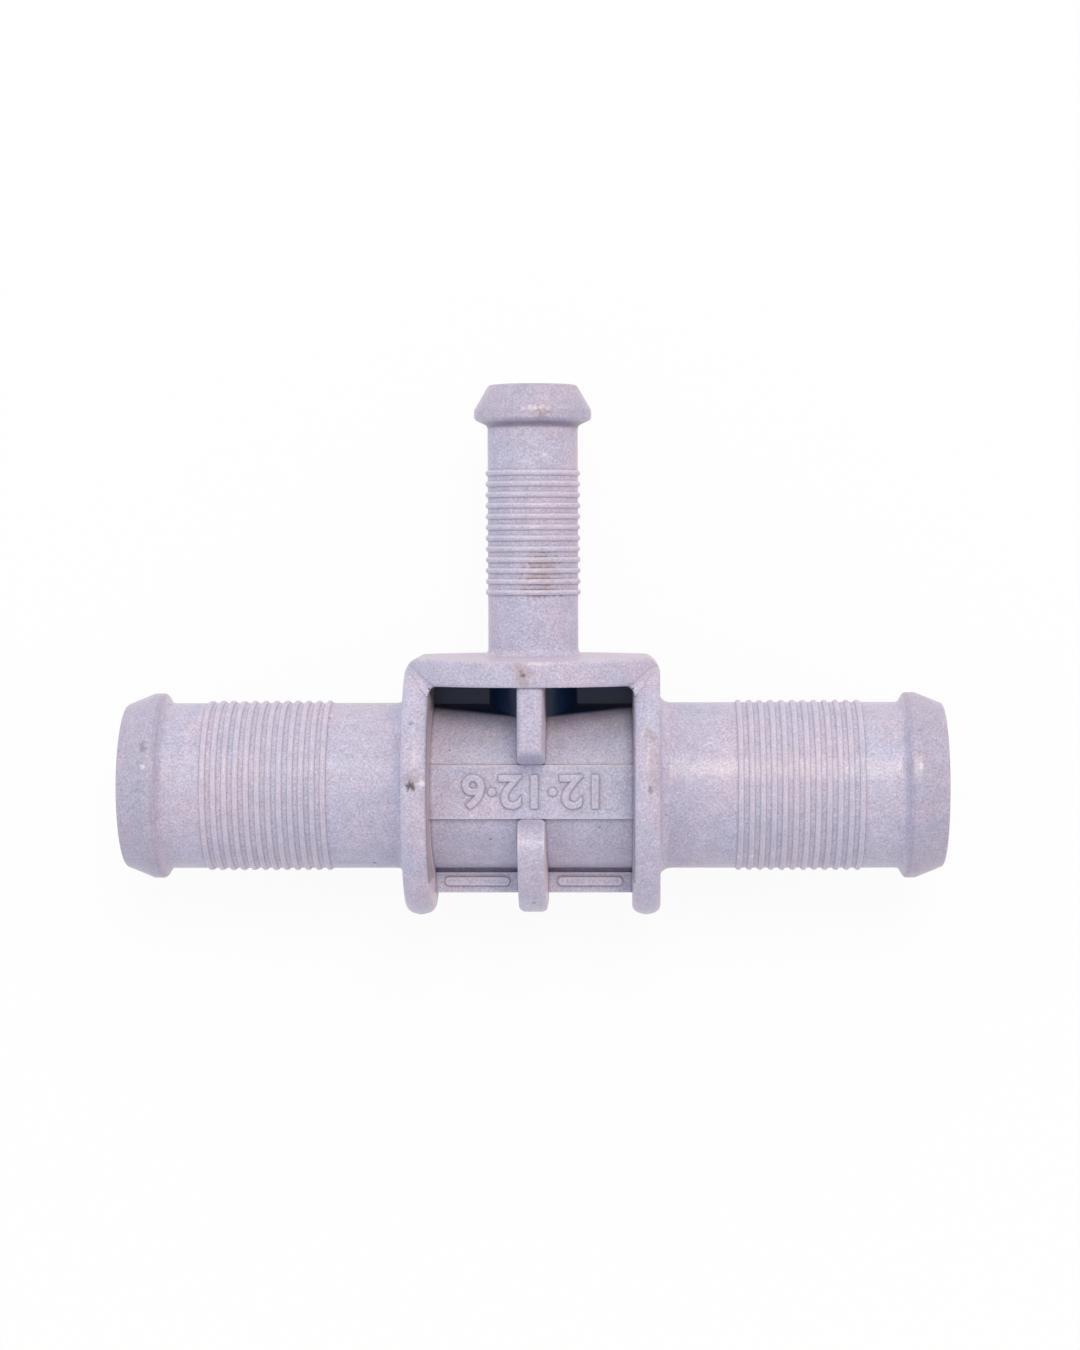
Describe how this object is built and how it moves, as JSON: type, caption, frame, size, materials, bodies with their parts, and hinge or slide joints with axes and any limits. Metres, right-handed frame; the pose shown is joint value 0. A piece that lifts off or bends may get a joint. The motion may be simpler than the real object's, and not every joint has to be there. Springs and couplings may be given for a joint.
{
  "type": "reducing hose tee connector",
  "caption": "One-piece moulded plastic tee: two beaded, ringed hose spigots in line, a smaller one at right angles, and a windowed collar frame with a centre rib round the middle.",
  "frame": {"origin": "where the run's bore axis and the branch's bore axis cross, on the mould's parting plane", "axes": "+X along the run, +Y along the branch towards its open end, +Z at right angles to both, out of the face that shows in the picture"},
  "size_m": [0.0788, 0.0511, 0.025],
  "materials": {
    "body": "moulded glass-filled polyamide, light lavender grey, matte with a fine sparkle"
  },
  "bodies": {
    "root": {"tee_connector": "body"}
  },
  "joints": []
}
